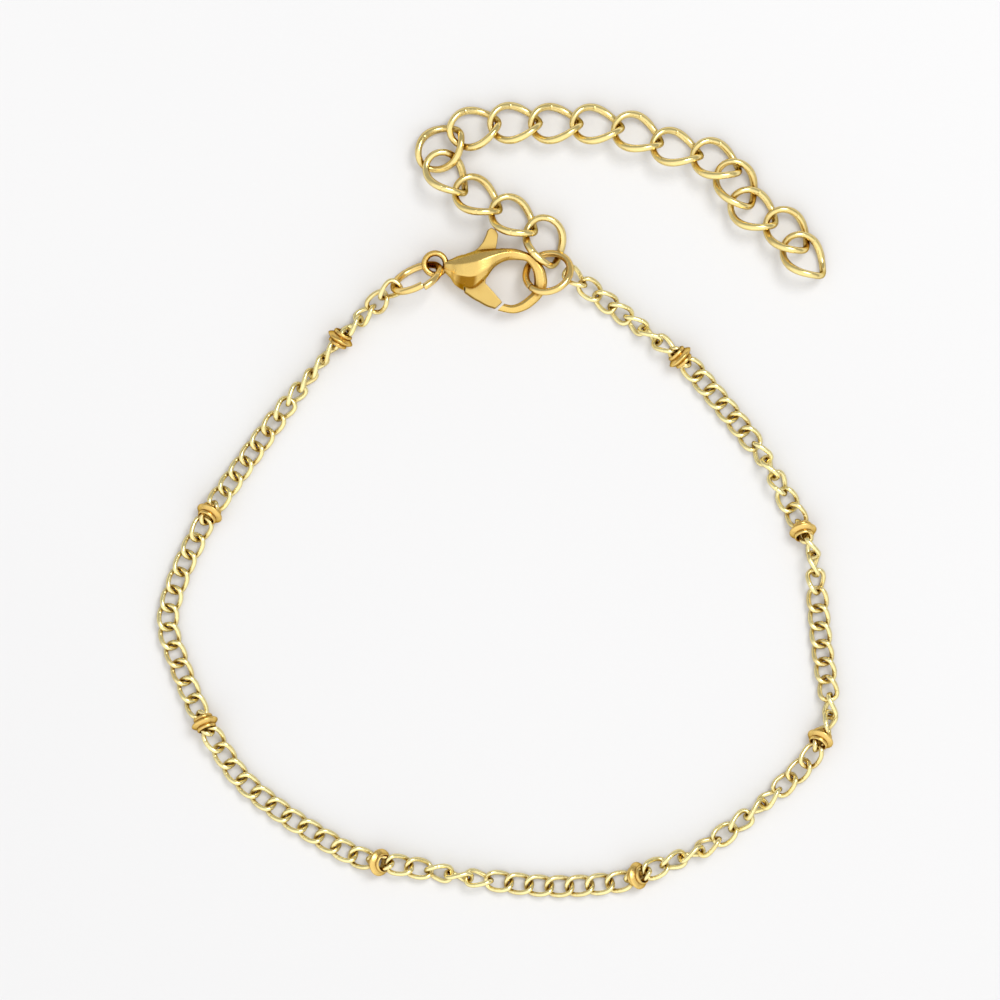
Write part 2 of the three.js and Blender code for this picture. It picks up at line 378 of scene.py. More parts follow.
class BraceletColours(bpy.types.PropertyGroup):
    chain_gold: FloatVectorProperty(
        name="Chain gold",
        description="Plating of the fine chain",
        default=linear(0xFDECAE),
        subtype="COLOR",
        size=3,
        min=0.0,
        max=1.0,
    )
    extender_gold: FloatVectorProperty(
        name="Extender gold",
        description="Plating of the extender's links",
        default=linear(0xF7E29C),
        subtype="COLOR",
        size=3,
        min=0.0,
        max=1.0,
    )
    ring_gold: FloatVectorProperty(
        name="Ring gold",
        description="Plating of the two jump rings",
        default=linear(0xF4D58A),
        subtype="COLOR",
        size=3,
        min=0.0,
        max=1.0,
    )
    bead_gold: FloatVectorProperty(
        name="Bead gold",
        description="Plating of the beads",
        default=linear(0xEAC878),
        subtype="COLOR",
        size=3,
        min=0.0,
        max=1.0,
    )
    clasp_gold: FloatVectorProperty(
        name="Clasp gold",
        description="Plating of the clasp's body and lever",
        default=linear(0xE8C675),
        subtype="COLOR",
        size=3,
        min=0.0,
        max=1.0,
    )
    floor_white: FloatVectorProperty(
        name="Floor white",
        description="Colour of the plain pale floor",
        default=linear(0xE3E3E4),
        subtype="COLOR",
        size=3,
        min=0.0,
        max=1.0,
    )


# ---- materials ----


def add_node(tree, kind, settings=None, values=None, links=None):
    """One node: attributes set from settings, sockets from values and wired from links."""
    node = tree.nodes.new(kind)
    for name, value in (settings or {}).items():
        setattr(node, name, value)
    for socket, value in (values or {}).items():
        node.inputs[socket].default_value = value
    for socket, source in (links or {}).items():
        tree.links.new(source, node.inputs[socket])
    return node


# Worn gold plate turns brown where it is seen along the surface.
EDGE_TINT = (0.3, 0.2, 0.06, 1.0)
# Painted shade: this brown is multiplied into the colour where ambient occlusion, the floor included,
# finds a spot hemmed in: whole where less than the first share of the room round it is open, gone
# where more than the second is.
BROWN_TONE_AND_SHADE = (0.4, 0.27, 0.07, 1.0)
PAINTED_SHADE_FROM, PAINTED_SHADE_TO = 0.4, 0.88


def plated_metal(name, colour, roughness, wear, grain_mm, bump_mm, tone_spread, shade_reach_mm):
    """A polished plated metal: its tone drifts, and it has fine grain and faint rubbed marks.

    Wear is how much rougher the rubbed marks are. The last argument is how far round a spot the
    painted shade looks for surfaces that hem it in.
    """
    material = bpy.data.materials.new(name)
    material.use_nodes = True
    tree = material.node_tree
    tree.nodes.clear()
    place = add_node(tree, "ShaderNodeTexCoord").outputs["Object"]
    per_metre = 1 / (grain_mm * MM)
    drift = add_node(
        tree,
        "ShaderNodeTexNoise",
        values={"Scale": per_metre / 14, "Detail": 3.0, "Roughness": 0.5},
        links={"Vector": place},
    )
    grain = add_node(
        tree,
        "ShaderNodeTexNoise",
        values={"Scale": per_metre, "Detail": 4.0, "Roughness": 0.6},
        links={"Vector": place},
    )
    rubbed = add_node(
        tree,
        "ShaderNodeTexNoise",
        values={"Scale": per_metre / 4, "Detail": 2.0, "Roughness": 0.7, "Distortion": 1.6},
        links={"Vector": place},
    )
    # Each link's own tone shifts the drift, so that no two links look quite alike.
    link_tone = add_node(tree, "ShaderNodeAttribute", {"attribute_name": "tone"})
    mixed = add_node(
        tree,
        "ShaderNodeMath",
        {"operation": "MULTIPLY_ADD"},
        {1: 0.6},
        {0: link_tone.outputs["Fac"], 2: drift.outputs["Fac"]},
    )
    warmth = (1 - 0.4 * tone_spread, 1 - tone_spread, 1 - 2 * tone_spread)
    warm = tuple(c * k for c, k in zip(colour, warmth))
    pale = tuple(min(1.0, c * (1 + 0.5 * tone_spread)) for c in colour)
    tone = add_node(tree, "ShaderNodeValToRGB", links={"Fac": mixed.outputs["Value"]})
    # The ramp's darkest end is brown. Random tone seldom reaches it, while the clasp's cheek, its tone set
    # below it, takes it there as painted dark reflection.
    ramp = tone.color_ramp
    ramp.elements[0].position = 0.02
    ramp.elements[0].color = (*(c * k for c, k in zip(colour, BROWN_TONE_AND_SHADE)), 1.0)
    ramp.elements[1].position = 0.75
    ramp.elements[1].color = (*pale, 1.0)
    ramp.elements.new(0.3).color = (*warm, 1.0)
    # Painted shade: how little of the room round a spot is open, the floor counted, darkens it towards
    # brown.
    occlusion = add_node(
        tree, "ShaderNodeAmbientOcclusion", {"samples": 3}, {"Distance": shade_reach_mm * MM}
    )
    shade_cover = add_node(
        tree,
        "ShaderNodeMapRange",
        values={"From Min": PAINTED_SHADE_FROM, "From Max": PAINTED_SHADE_TO, "To Min": 1.0, "To Max": 0.0},
        links={"Value": occlusion.outputs["AO"]},
    )
    shaded_tone = add_node(
        tree,
        "ShaderNodeMix",
        {"data_type": "RGBA", "blend_type": "MULTIPLY"},
        {7: BROWN_TONE_AND_SHADE},
        {0: shade_cover.outputs["Result"], 6: tone.outputs["Color"]},
    )
    gloss = add_node(
        tree,
        "ShaderNodeMapRange",
        values={"From Min": 0.35, "From Max": 0.7, "To Min": roughness, "To Max": roughness + wear},
        links={"Value": rubbed.outputs["Fac"]},
    )
    bump = add_node(
        tree,
        "ShaderNodeBump",
        values={"Strength": 1.0, "Distance": bump_mm * MM},
        links={"Height": grain.outputs["Fac"]},
    )
    shader = add_node(
        tree,
        "ShaderNodeBsdfPrincipled",
        values={"Metallic": 1.0, "Specular Tint": EDGE_TINT},
        links={
            "Base Color": shaded_tone.outputs[2],
            "Roughness": gloss.outputs["Result"],
            "Normal": bump.outputs["Normal"],
        },
    )
    add_node(tree, "ShaderNodeOutputMaterial", links={"Surface": shader.outputs["BSDF"]})
    return material


def matte_floor(name, colour, cloud_mm, fibre_mm):
    """Smooth matt board: almost even, with a breath of tone so that it isn't dead flat.

    Its patches of tone are cloud_mm wide and its tooth is fibre_mm wide. Its faint glow stands
    for the light that a white board passes on inside itself.
    """
    material = bpy.data.materials.new(name)
    material.use_nodes = True
    tree = material.node_tree
    tree.nodes.clear()
    place = add_node(tree, "ShaderNodeTexCoord").outputs["Object"]
    cloud = add_node(
        tree,
        "ShaderNodeTexNoise",
        values={"Scale": 1 / (cloud_mm * MM), "Detail": 2.0},
        links={"Vector": place},
    )
    tone = add_node(tree, "ShaderNodeValToRGB", links={"Fac": cloud.outputs["Fac"]})
    tone.color_ramp.elements[0].color = (*(c * 0.97 for c in colour), 1.0)
    tone.color_ramp.elements[1].color = (*colour, 1.0)
    fibre = add_node(
        tree,
        "ShaderNodeTexNoise",
        values={"Scale": 1 / (fibre_mm * MM), "Detail": 3.0},
        links={"Vector": place},
    )
    bump = add_node(
        tree,
        "ShaderNodeBump",
        values={"Strength": 0.3, "Distance": 0.03 * MM},
        links={"Height": fibre.outputs["Fac"]},
    )
    shader = add_node(
        tree,
        "ShaderNodeBsdfPrincipled",
        values={
            "Roughness": 0.75,
            "Emission Color": (1.0, 1.0, 1.0, 1.0),
            "Emission Strength": 0.03,
        },
        links={"Base Color": tone.outputs["Color"], "Normal": bump.outputs["Normal"]},
    )
    add_node(tree, "ShaderNodeOutputMaterial", links={"Surface": shader.outputs["BSDF"]})
    return material


# ---- shapes ----


class Build:
    """Vertices and faces gathered for one mesh, with a tone for each vertex."""

    def __init__(self):
        self.vertices = []
        self.faces = []
        self.tones = []

    def add(self, vertices, faces, tone=0.0, tones=None):
        first = len(self.vertices)
        self.vertices += [tuple(v) for v in vertices]
        self.faces += [tuple(first + i for i in face) for face in faces]
        self.tones += tones or [tone] * len(vertices)

    def piece(self, name, material, sharp=50):
        mesh = bpy.data.meshes.new(name)
        mesh.from_pydata(self.vertices, [], self.faces)
        mesh.validate()
        mesh.shade_smooth()
        mesh.set_sharp_from_angle(angle=math.radians(sharp))
        tones = mesh.attributes.new("tone", "FLOAT", "POINT")
        tones.data.foreach_set("value", self.tones)
        mesh.materials.append(material)
        piece = bpy.data.objects.new(name, mesh)
        bpy.context.scene.collection.objects.link(piece)
        return piece


def capped_faces(rows, sides):
    """Faces of a tube whose rows of vertices have so many sides each, with a cap at both ends."""
    faces = []
    for i in range(rows - 1):
        for k in range(sides):
            a, b = i * sides + k, i * sides + (k + 1) % sides
            faces.append((a, b, b + sides, a + sides))
    last = (rows - 1) * sides
    return faces + [tuple(reversed(range(sides))), tuple(range(last, last + sides))]


def wire(line, cut, half_gap, steps, radius, sides, swell=0.0):
    """A round wire once round line(t), its ends pressed almost together at t of cut.

    Swell is how much thicker than the rest the wire is at t of a quarter and three quarters.
    """
    start, end = cut + half_gap, cut + 2 * math.pi - half_gap
    # The ends have a broken edge, a quarter of a step long.
    edge = (end - start) / steps * 0.25
    stations = [(start, 0.95)]
    stations += [(start + edge + (end - start - 2 * edge) * i / steps, 1.0) for i in range(steps + 1)]
    stations.append((end, 0.95))
    points = [line(t) for t, _ in stations]
    vertices = []
    side = None
    for i, (t, share) in enumerate(stations):
        thickness = radius * share + swell * math.sin(t) ** 4
        ahead = points[min(i + 1, len(points) - 1)] - points[max(i - 1, 0)]
        ahead.normalize()
        if side is None:
            side = ahead.orthogonal()
        side = (side - ahead * side.dot(ahead)).normalized()
        up = ahead.cross(side)
        for k in range(sides):
            angle = 2 * math.pi * k / sides
            offset = side * math.cos(angle) + up * math.sin(angle)
            vertices.append(points[i] + offset * thickness)
    return vertices, capped_faces(len(stations), sides)


def curb_line(place, half_length, half_width, roll, twist, fullness=2.0):
    """line(t) of a curb link's wire: an oval that leans one way at one end and back at the other.

    The oval is an ellipse at a fullness of 2, and squarer above that.
    """

    def line(t):
        along, across = math.cos(t) / half_length, math.sin(t) / half_width
        reach = (abs(along) ** fullness + abs(across) ** fullness) ** (-1 / fullness)
        share = reach * math.cos(t) / half_length
        side = reach * math.sin(t)
        lean = math.radians(roll + twist * share)
        return place @ Vector((share * half_length, side * math.cos(lean), side * math.sin(lean)))

    return line


def direction(heading, raised=0):
    """The unit vector on a heading and raised from level, both in degrees."""
    turn, rise = math.radians(heading), math.radians(raised)
    return Vector((math.cos(rise) * math.cos(turn), math.cos(rise) * math.sin(turn), math.sin(rise)))


def heading_frame(middle, ahead):
    """A frame at middle with X along ahead and Y level."""
    x = ahead.normalized()
    y = Vector((-x.y, x.x, 0.0)).normalized()
    z = x.cross(y)
    place = Matrix((x, y, z)).transposed().to_4x4()
    place.translation = middle
    return place


def resting_height(line, radius):
    """How far a link on this line has to be raised for its wire to lie on the floor."""
    return radius - min(line(2 * math.pi * i / 60).z for i in range(60))


def bead_profile(sizes):
    """A bead's closed profile as (along, radius): ridge, groove, hub, rounded mouth and bore."""
    outer, bore, half = sizes.bead_diameter / 2, sizes.bead_bore / 2, sizes.bead_length / 2
    hub = bore + BEAD_HUB * MM
    groove = hub - 0.05 * MM
    shoulder = half * 0.5
    # The flank falls away as a hyperbola does: round over the ridge, then nearly straight.
    steps, crest = 8, 0.03
    flat = math.sqrt(crest)
    right = []
    for i in range(steps + 1):
        share = i / steps
        fall = (math.sqrt(share * share + crest) - flat) / (math.sqrt(1 + crest) - flat)
        right.append((share * shoulder, outer - (outer - groove) * fall**1.3))
    right += [
        (half * 0.62, hub - 0.01 * MM),
        (half - 0.12 * MM, hub),
        (half - 0.04 * MM, hub - 0.04 * MM),
        (half, hub - 0.12 * MM),
        (half - 0.03 * MM, bore + 0.03 * MM),
        (half - 0.1 * MM, bore),
        (0.0, bore),
    ]
    return right + [(-along, radius) for along, radius in reversed(right[1:-1])]


def bead_height(sizes, raised):
    """How high a bead's middle is when it lies on the floor with its bore raised, in degrees."""
    tilt = math.radians(abs(raised))
    profile = bead_profile(sizes)
    return max(radius * math.cos(tilt) + along * math.sin(tilt) for along, radius in profile)


def ringed(rows):
    """Vertices and faces of a grid of rows that closes both along the rows and across them."""
    count, width = len(rows), len(rows[0])
    faces = []
    for i in range(count):
        for k in range(width):
            a, b = i * width + k, i * width + (k + 1) % width
            c = ((i + 1) % count) * width
            faces.append((a, b, c + (k + 1) % width, c + k))
    return [v for row in rows for v in row], faces


def catmull_rom(p, q, r, s, t):
    """The curve's value between q and r, at t from 0 to 1, with p before them and s after."""
    square, cube = (2 * p - 5 * q + 4 * r - s) * t**2, (3 * q - p - 3 * r + s) * t**3
    return 0.5 * (2 * q + (r - p) * t + square + cube)


def smooth_through(rows, per_span):
    """Rows of numbers resampled on a Catmull-Rom curve, per_span steps to a span."""
    padded = [rows[0], *rows, rows[-1]]
    made = []
    for i in range(1, len(padded) - 2):
        corners = list(zip(*padded[i - 1 : i + 3]))
        for step in range(per_span):
            made.append(tuple(catmull_rom(*values, step / per_span) for values in corners))
    made.append(tuple(rows[-1]))
    return made


class Route:
    """The fine chain's centre line, in metres, read by the length from its start."""

    def __init__(self, points):
        self.points = [Vector(p) * MM for p in smooth_through(points, 40)]
        self.lengths = [0.0]
        for a, b in zip(self.points, self.points[1:]):
            self.lengths.append(self.lengths[-1] + (b - a).length)

    def nearest(self, place):
        """The length at which the line comes nearest to the place."""
        gaps = [(p - place).length for p in self.points]
        return self.lengths[gaps.index(min(gaps))]

    def at(self, length):
        """The place on the line at the length."""
        i = 0
        while i < len(self.lengths) - 2 and self.lengths[i + 1] < length:
            i += 1
        share = (length - self.lengths[i]) / (self.lengths[i + 1] - self.lengths[i])
        return self.points[i].lerp(self.points[i + 1], share)


def node_middle(node):
    """The middle of a CAD node's box, which is where its piece goes."""
    low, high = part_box(node)
    return (Vector(low) + Vector(high)) / 2


def place_piece(piece, body, slot, *nodes):
    """Rides the piece on its body, in the place of the CAD nodes."""
    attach(piece, body)
    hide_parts(*nodes)


# ---- the studio ----

# The tent's brightest direction, and its brightness from the back round to that direction.
TENT_FACING = (-0.12, -0.7, 0.7)
TENT_LEVELS = (0.4, 0.52, 1.0, 1.14)
TENT_STRENGTH = 1.06
# How far the camera is above the floor, and how wide a strip it shows at the pieces' height.
CAMERA_HEIGHT = 600 * MM
SHOWN_WIDTH = 83.333 * MM
PIECES_HEIGHT = 1 * MM


# ---- operators ----


class BRACELET_OT_stage(bpy.types.Operator):
    """Make the floor, the studio light and the camera"""

    bl_idname = "bracelet.stage"
    bl_label = "Stage"

    def execute(self, context):
        scene = context.scene
        scene.view_settings.view_transform = "Standard"
        self.floor(scene)
        scene.world = self.studio()
        self.add_softbox(scene, "key", (0.3, 0.28, 0.7), size=0.34, power=2.6)
        camera = bpy.data.objects.new("camera", bpy.data.cameras.new("camera"))
        sensor = camera.data.sensor_width
        camera.data.lens = sensor * (CAMERA_HEIGHT - PIECES_HEIGHT) / SHOWN_WIDTH
        camera.data.clip_start = 0.01
        camera.data.clip_end = 10.0
        camera.location = (0.0, 0.0, CAMERA_HEIGHT)
        scene.collection.objects.link(camera)
        scene.camera = camera
        return {"FINISHED"}

    def floor(self, scene):
        half = 1.5
        corners = [(-half, -half, 0.0), (half, -half, 0.0), (half, half, 0.0), (-half, half, 0.0)]
        mesh = bpy.data.meshes.new("floor")
        mesh.from_pydata(corners, [], [(0, 1, 2, 3)])
        # Coated card, rolled smooth: white, with no gloss and hardly any tooth.
        board = matte_floor(
            "matt white board", scene.bracelet_colours.floor_white, cloud_mm=55.5, fibre_mm=0.4
        )
        mesh.materials.append(board)
        floor = bpy.data.objects.new("floor", mesh)
        scene.collection.objects.link(floor)
        return floor

    def studio(self):
        """A white tent, open towards the back: bright overhead and in front, dim at the back."""
        world = bpy.data.worlds.new("studio")
        world.use_nodes = True
        tree = world.node_tree
        tree.nodes.clear()
        seen = add_node(tree, "ShaderNodeTexCoord").outputs["Generated"]
        facing = add_node(
            tree, "ShaderNodeVectorMath", {"operation": "DOT_PRODUCT"}, {1: TENT_FACING}, {0: seen}
        )
        share = add_node(
            tree,
            "ShaderNodeMapRange",
            values={"From Min": -1.0},
            links={"Value": facing.outputs["Value"]},
        )
        cloth = add_node(tree, "ShaderNodeValToRGB", links={"Fac": share.outputs["Result"]})
        ramp = cloth.color_ramp
        ramp.interpolation = "EASE"
        ramp.elements[0].position = 0.5
        ramp.elements[1].position = 1.0
        ramp.elements.new(0.62)
        ramp.elements.new(0.77)
        for element, level in zip(ramp.elements, TENT_LEVELS):
            element.color = (level, level * 0.995, level * 0.985, 1.0)
        light = add_node(
            tree,
            "ShaderNodeBackground",
            values={"Strength": TENT_STRENGTH},
            links={"Color": cloth.outputs["Color"]},
        )
        add_node(tree, "ShaderNodeOutputWorld", links={"Surface": light.outputs["Background"]})
        return world

    def add_softbox(self, scene, name, place, size, power):
        """A square white softbox at place, turned to face the bracelet."""
        light = bpy.data.lights.new(name, "AREA")
        light.shape = "SQUARE"
        light.size = size
        light.energy = power
        lamp = bpy.data.objects.new(name, light)
        lamp.location = place
        lamp.rotation_mode = "QUATERNION"
        lamp.rotation_quaternion = Vector(place).to_track_quat("Z", "Y")
        scene.collection.objects.link(lamp)


class BRACELET_OT_fine_chain(bpy.types.Operator):
    """Link the fine curb chain, one piece for each stretch between beads"""

    bl_idname = "bracelet.fine_chain"
    bl_label = "Fine chain"

    def execute(self, context):
        sizes = context.scene.bracelet_sizes
        radius = sizes.fine_wire / 2
        half_width = sizes.fine_width / 2 - radius
        # Rolled brass wire, gold plated and tumbled: bright, with a slightly uneven tone.
        gold = plated_metal(
            "tumbled gold-plated wire",
            context.scene.bracelet_colours.chain_gold,
            roughness=0.16,
            wear=0.14,
            grain_mm=0.09,
            bump_mm=0.004,
            tone_spread=0.10,
            shade_reach_mm=0.5,
        )
        chance = random.Random(sizes.seed)
        route = Route(CHAIN_ROUTE)
        beads = [node_middle(f"bead_{i + 1}") for i in range(len(BEADS))]
        anchors = [0.0, *(route.nearest(bead) for bead in beads), route.lengths[-1]]
        heights = [bead_height(sizes, bead["raised"]) for bead in BEADS]
        links = []
        for index, rolls in enumerate(CHAIN_RUNS):
            # Only the first stretch starts with a link at its anchor, the clasp ring: the link
            # in a bead belongs to the stretch that ends there.
            first = 0 if index == 0 else 1
            pitch = (anchors[index + 1] - anchors[index]) / (len(rolls) - 1 + first)
            for step, roll in enumerate(rolls, first):
                in_bead = index < len(BEADS) and step == len(rolls) - 1 + first
                links.append((index, anchors[index] + pitch * step, pitch, roll, in_bead))
        builds = [Build() for _ in CHAIN_RUNS]
        for run, length, pitch, roll, in_bead in links:
            roll += chance.uniform(-ROLL_SPREAD, ROLL_SPREAD)
            width, reach, twist = half_width, pitch / 2 + radius + sizes.fine_play, FINE_TWIST
            if in_bead:
                width, twist = IN_BEAD_HALF_WIDTH * MM, IN_BEAD_TWIST
                reach += IN_BEAD_STRETCH * MM
            place = heading_frame(*self.on_route(route, length, anchors, heights))
            line = curb_line(place, reach, width, roll, twist, FINE_FULLNESS)
            place.translation.z += max(0.0, resting_height(line, radius))
            vertices, faces = wire(line, LINK_SEAM, SEAM_HALF_GAP, 44, radius, 12)
            builds[run].add(vertices, faces, chance.random())
        for index, build in enumerate(builds):
            piece = build.piece(f"chain_run_{index + 1}", gold)
            place_piece(piece, "bracelet", "chain_gold", "chain")
        return {"FINISHED"}

    def on_route(self, route, length, anchors, heights):
        """A link's middle and direction: the chain passes through each bead along its bore."""
        points = []
        for offset in (-LOOK_AHEAD, 0.0, LOOK_AHEAD):
            at = min(max(length + offset * MM, 0.0), route.lengths[-1])
            point = route.at(at)
            for bead, anchor, height in zip(BEADS, anchors[1:], heights):
                away = (at - anchor) / MM
                lift = height - route.at(anchor).z
                lift += math.sin(math.radians(bead["raised"])) * BEAD_CLIMB * MM * away
                point.z += lift * math.exp(-((away / BEAD_REACH) ** 2))
            points.append(point)
        return points[1], points[2] - points[0]


class BRACELET_OT_beads(bpy.types.Operator):
    """Turn the ring beads and set each at its place on the chain"""

    bl_idname = "bracelet.beads"
    bl_label = "Beads"

    def execute(self, context):
        sizes = context.scene.bracelet_sizes
        # Turned brass, plated a deeper gold than the chain: satin from the lathe.
        gold = plated_metal(
            "turned gold-plated bead",
            context.scene.bracelet_colours.bead_gold,
            roughness=0.2,
            wear=0.16,
            grain_mm=0.07,
            bump_mm=0.006,
            tone_spread=0.12,
            shade_reach_mm=0.45,
        )
        profile = bead_profile(sizes)
        turns = [-2 * math.pi * i / 72 for i in range(72)]
        for index, bead in enumerate(BEADS):
            name = f"bead_{index + 1}"
            middle = node_middle(name)
            middle.z = bead_height(sizes, bead["raised"])
            place = heading_frame(middle, direction(bead["heading"], bead["raised"]))
            rows = [
                [place @ Vector((a, r * math.cos(turn), r * math.sin(turn))) for a, r in profile]
                for turn in turns
            ]
            build = Build()
            vertices, faces = ringed(rows)
            build.add(vertices, faces, index / len(BEADS))
            piece = build.piece(f"{name}_ring", gold, 35)
            place_piece(piece, "bracelet", "bead_gold", name)
        return {"FINISHED"}


class BRACELET_OT_rings(bpy.types.Operator):
    """Bend the two jump rings, each with the fine saw cut where its ends meet"""

    bl_idname = "bracelet.rings"
    bl_label = "Jump rings"

    def execute(self, context):
        # Drawn brass wire, wound, sawn and plated: the smoothest and most even of the wires.
        gold = plated_metal(
            "drawn gold-plated ring wire",
            context.scene.bracelet_colours.ring_gold,
            roughness=0.13,
            wear=0.14,
            grain_mm=0.12,
            bump_mm=0.004,
            tone_spread=0.08,
            shade_reach_mm=0.9,
        )
        for name, ring in RINGS.items():
            middle = node_middle(name)
            size = ring["radius"] * MM
            along = direction(ring["heading"])
            across = direction(ring["heading"] + 90, -ring["lean"])
            axle = along.cross(across)
            cut = math.radians(ring["cut_at"])

            def line(t):
                # The cut ends lie a little to either side, as pliers leave them.
                aside = ((t - cut) / math.pi - 1) ** 3 * ring["gape"] * MM
                return middle + (along * math.cos(t) + across * math.sin(t)) * size + axle * aside

            half_gap = RING_HALF_CUT / ring["radius"]
            build = Build()
            build.add(*wire(line, cut, half_gap, 96, ring["wire"] * MM / 2, 24), 0.5)
            piece = build.piece(f"{name}_wire", gold)
            place_piece(piece, "bracelet", "ring_gold", name)
        return {"FINISHED"}


class BRACELET_OT_extender(bpy.types.Operator):
    """Bend the extender's large curb links"""

    bl_idname = "bracelet.extender"
    bl_label = "Extender"

    def execute(self, context):
        sizes = context.scene.bracelet_sizes
        radius = sizes.extender_wire / 2
        half_length = sizes.extender_length / 2 - radius
        half_width = sizes.extender_width / 2 - radius
        swell = radius * EXTENDER_SWELL
        # The same tumbled wire as the chain, thicker, so its tone runs in longer patches.
        gold = plated_metal(
            "tumbled gold-plated extender wire",
            context.scene.bracelet_colours.extender_gold,
            roughness=0.14,
            wear=0.14,
            grain_mm=0.12,
            bump_mm=0.004,
            tone_spread=0.09,
            shade_reach_mm=1.1,
        )
        chance = random.Random(sizes.seed + 1)
        for index, (x, y, heading, roll) in enumerate(EXTENDER_LINKS):
            name = f"extender_link_{index + 1:02d}"
            place = heading_frame(Vector((x * MM, y * MM, 0.0)), direction(heading))
            line = curb_line(place, half_length, half_width, roll, EXTENDER_TWIST)
            place.translation.z = resting_height(line, radius + swell)
            build = Build()
            vertices, faces = wire(line, LINK_SEAM, SEAM_HALF_GAP, 84, radius, 20, swell)
            build.add(vertices, faces, chance.random())
            piece = build.piece(f"{name}_wire", gold)
            place_piece(piece, "bracelet", "extender_gold", name)
        return {"FINISHED"}


class BRACELET_OT_clasp(bpy.types.Operator):
    """Cast the lobster clasp's body and stamp its lever"""

    bl_idname = "bracelet.clasp"
    bl_label = "Lobster clasp"

    def execute(self, context):
        gold_colour = context.scene.bracelet_colours.clasp_gold
        # Cast brass, tumbled and plated: a soft polish over faint ripples from the casting.
        cast = plated_metal(
            "polished gold-plated casting",
            gold_colour,
            roughness=0.22,
            wear=0.12,
            grain_mm=0.35,
            bump_mm=0.012,
            tone_spread=0.08,
            shade_reach_mm=0.6,
        )
        # Stamped brass, left satin before it was plated, which makes its gold a shade deeper.
        stamped = plated_metal(
            "satin gold-plated lever",
            tuple(c * 0.75 for c in gold_colour),
            roughness=0.3,
            wear=0.12,
            grain_mm=0.06,
            bump_mm=0.006,
            tone_spread=0.08,
            shade_reach_mm=0.5,
        )
        place_piece(self.body(cast), "bracelet", "clasp_gold", "clasp_body")
        place_piece(self.lever(stamped), "lever", "clasp_gold", "clasp_lever")
        return {"FINISHED"}

    def body(self, material):
        """The claw with the lever's slot cut out of it, joined to the eye and the pivot pin."""
        body = self.claw().piece("lobster_clasp_body", material, CLASP_SHARP)
        self.combine(body, self.eye(), "UNION")
        self.combine(body, self.prism(SLOT_OUTLINE, SLOT_HEIGHT), "DIFFERENCE")
        self.combine(body, self.pin(PIN_DIAMETER / 2), "UNION")
        body.data.shade_smooth()
        body.data.set_sharp_from_angle(angle=math.radians(CLASP_SHARP))
        return body

    def combine(self, body, build, operation):
        """Joins or cuts body with the build, by a boolean modifier that is applied at once."""
        tool = build.piece("tool", body.data.materials[0])
        boolean = body.modifiers.new("join", "BOOLEAN")
        boolean.operation = operation
        boolean.solver = "EXACT"
        boolean.object = tool
        graph = bpy.context.evaluated_depsgraph_get()
        made = bpy.data.meshes.new_from_object(body.evaluated_get(graph))
        body.modifiers.remove(boolean)
        old = body.data
        body.data = made
        bpy.data.meshes.remove(old)
        spare = tool.data
        bpy.data.objects.remove(tool)
        bpy.data.meshes.remove(spare)

    def claw(self):
        """The claw: a faceted section, lofted smoothly from the eye to the hook's tip."""
        rows = [(*outer, *inner, *rest) for outer, inner, *rest in CLAW_SECTIONS]
        vertices, tones = [], []
        loft = smooth_through(rows, 6)
        for ox, oy, ix, iy, low, high, cheek in loft:
            cheek = min(max(cheek, 0.0), 1.0)
            for across, up, dark_reflection in self.claw_section(cheek):
                share = (1 + across) / 2
                x, y = ix + (ox - ix) * share, iy + (oy - iy) * share
                z = low + (high - low) * (1 + up) / 2
                vertices.append(Vector((x * MM, y * MM, z * MM)))
                # Painted dark reflection: the cheek's tone is pushed far below the rest, so it is much the
                # darkest.
                tones.append(0.5 - 1.4 * dark_reflection * cheek)
        build = Build()
        build.add(vertices, capped_faces(len(loft), len(vertices) // len(loft)), tones=tones)
        return build

    def claw_section(self, cheek):
        """The claw's section, each facet held flat and each corner slightly rounded.

        Each point is (across, up, how much painted dark reflection): only the cheek has any.
        """
        corners = [
            (across + cheek * cut_across, up + cheek * cut_up)
            for across, up, cut_across, cut_up in CLAW_PROFILE
        ]
        points = []
        near, far = 0.08, 0.2
        for i, corner in enumerate(corners):
            before, after = corners[i - 1], corners[(i + 1) % len(corners)]
            into, out = float(i in CHEEK_CORNERS[1:]), float(i in CHEEK_CORNERS[:-1])
            for share in (far, near):
                points.append((*(c + (e - c) * share for c, e in zip(corner, before)), into))
            middle = tuple(c + (b + a - 2 * c) * 0.02 for b, c, a in zip(before, corner, after))
            points.append((*middle, (into + out) / 2))
            for share in (near, far):
                points.append((*(c + (e - c) * share for c, e in zip(corner, after)), out))
        return points

    def rounded_point(self, angle):
        """A point of the eye's section, from -1 to 1 each way: an oval squarer than an ellipse."""
        fullness = 2.5
        c, s = math.cos(angle), math.sin(angle)
        return (
            math.copysign(abs(c) ** (2 / fullness), c),
            math.copysign(abs(s) ** (2 / fullness), s),
        )

    def eye(self):
        """The eye: a ring with flattened sides and rounded edges."""
        rows = []
        for i in range(72):
            turn = 2 * math.pi * i / 72
            row = []
            for k in range(24):
                across, up = self.rounded_point(2 * math.pi * k / 24)
                radius = EYE["radius"] + across * EYE["half_wall"]
                x = EYE["x"] + radius * math.cos(turn)
                y = EYE["y"] + radius * math.sin(turn)
                z = CLASP_MIDDLE + up * EYE["half_height"]
                row.append(Vector((x * MM, y * MM, z * MM)))
            rows.append(row)
        build = Build()
        vertices, faces = ringed(rows)
        build.add(vertices, [tuple(reversed(f)) for f in faces], 0.5)
        return build

    def pin(self, radius):
        """A round pin through the pivot, its radius in millimetres."""
        turns = [2 * math.pi * i / 32 for i in range(32)]
        circle = [(PIVOT[0] + radius * math.cos(t), PIVOT[1] + radius * math.sin(t)) for t in turns]
        return self.prism(circle, PIN_LENGTH)

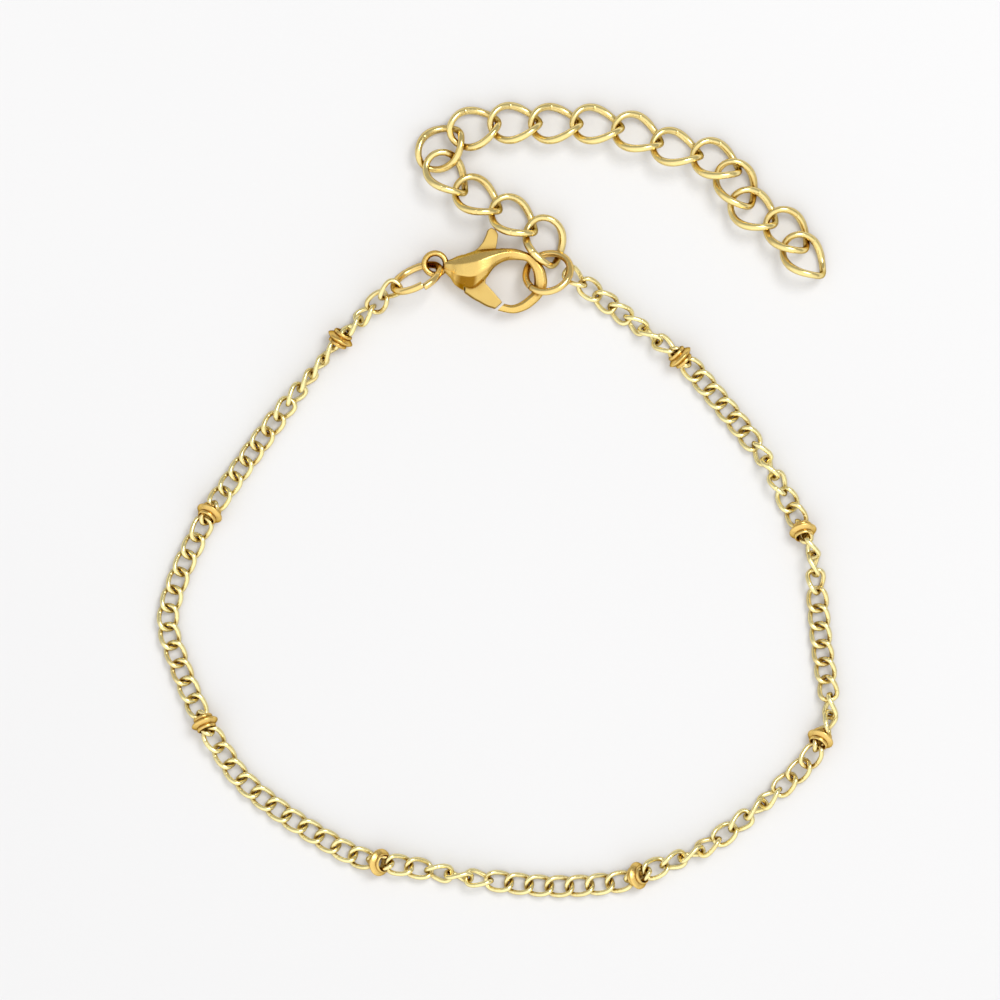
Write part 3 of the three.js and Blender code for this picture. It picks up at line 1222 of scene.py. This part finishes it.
    def prism(self, outline, thickness, lean=(0.0, 0.0)):
        """A level plate of the outline at the clasp's middle height, all in millimetres.

        Lean moves the lower face sideways, so that the walls slope.
        """
        low, high = (CLASP_MIDDLE - thickness / 2) * MM, (CLASP_MIDDLE + thickness / 2) * MM
        area = sum(a[0] * b[1] - b[0] * a[1] for a, b in zip(outline, outline[1:] + outline[:1]))
        if area < 0:
            outline = outline[::-1]
        count = len(outline)
        vertices = [Vector(((x + lean[0]) * MM, (y + lean[1]) * MM, low)) for x, y in outline]
        vertices += [Vector((x * MM, y * MM, high)) for x, y in outline]
        faces = [tuple(reversed(range(count))), tuple(range(count, 2 * count))]
        faces += [(i, (i + 1) % count, count + (i + 1) % count, count + i) for i in range(count)]
        build = Build()
        build.add(vertices, faces, 0.5)
        return build

    def lever(self, material):
        """The sprung lever, a plate with a bore for the pin and broken edges."""
        build = self.prism(LEVER_OUTLINE, LEVER_THICKNESS, LEVER_LEAN)
        lever = build.piece("lobster_clasp_lever", material, CLASP_SHARP)
        self.combine(lever, self.pin(PIN_DIAMETER / 2 + PIN_PLAY), "DIFFERENCE")
        bevel = lever.modifiers.new("broken edges", "BEVEL")
        bevel.width = LEVER_BEVEL * MM
        bevel.segments = 3
        bevel.limit_method = "ANGLE"
        bevel.angle_limit = math.radians(50)
        return lever


# ---- panel, properties and running ----

OPERATORS = (
    BRACELET_OT_stage,
    BRACELET_OT_fine_chain,
    BRACELET_OT_beads,
    BRACELET_OT_rings,
    BRACELET_OT_extender,
    BRACELET_OT_clasp,
)


class BRACELET_PT_panel(bpy.types.Panel):
    """Lists the steps that build the bracelet"""

    bl_idname = "BRACELET_PT_panel"
    bl_label = "Satellite chain bracelet"
    bl_space_type = "VIEW_3D"
    bl_region_type = "UI"
    bl_category = "Bracelet"

    def draw(self, context):
        column = self.layout.column()
        for operator in OPERATORS:
            column.operator(operator.bl_idname)
        for group in (context.scene.bracelet_sizes, context.scene.bracelet_colours):
            for name in group.bl_rna.properties.keys():
                if name not in ("rna_type", "name"):
                    column.prop(group, name)


CLASSES = (BraceletSizes, BraceletColours, *OPERATORS, BRACELET_PT_panel)


def register():
    for cls in CLASSES:
        bpy.utils.register_class(cls)
    bpy.types.Scene.bracelet_sizes = PointerProperty(type=BraceletSizes)
    bpy.types.Scene.bracelet_colours = PointerProperty(type=BraceletColours)


def unregister():
    del bpy.types.Scene.bracelet_colours
    del bpy.types.Scene.bracelet_sizes
    for cls in reversed(CLASSES):
        bpy.utils.unregister_class(cls)


def main():
    register()
    bpy.ops.bracelet.stage()
    bpy.ops.bracelet.fine_chain()
    bpy.ops.bracelet.beads()
    bpy.ops.bracelet.rings()
    bpy.ops.bracelet.extender()
    bpy.ops.bracelet.clasp()


if __name__ == "__main__":
    main()
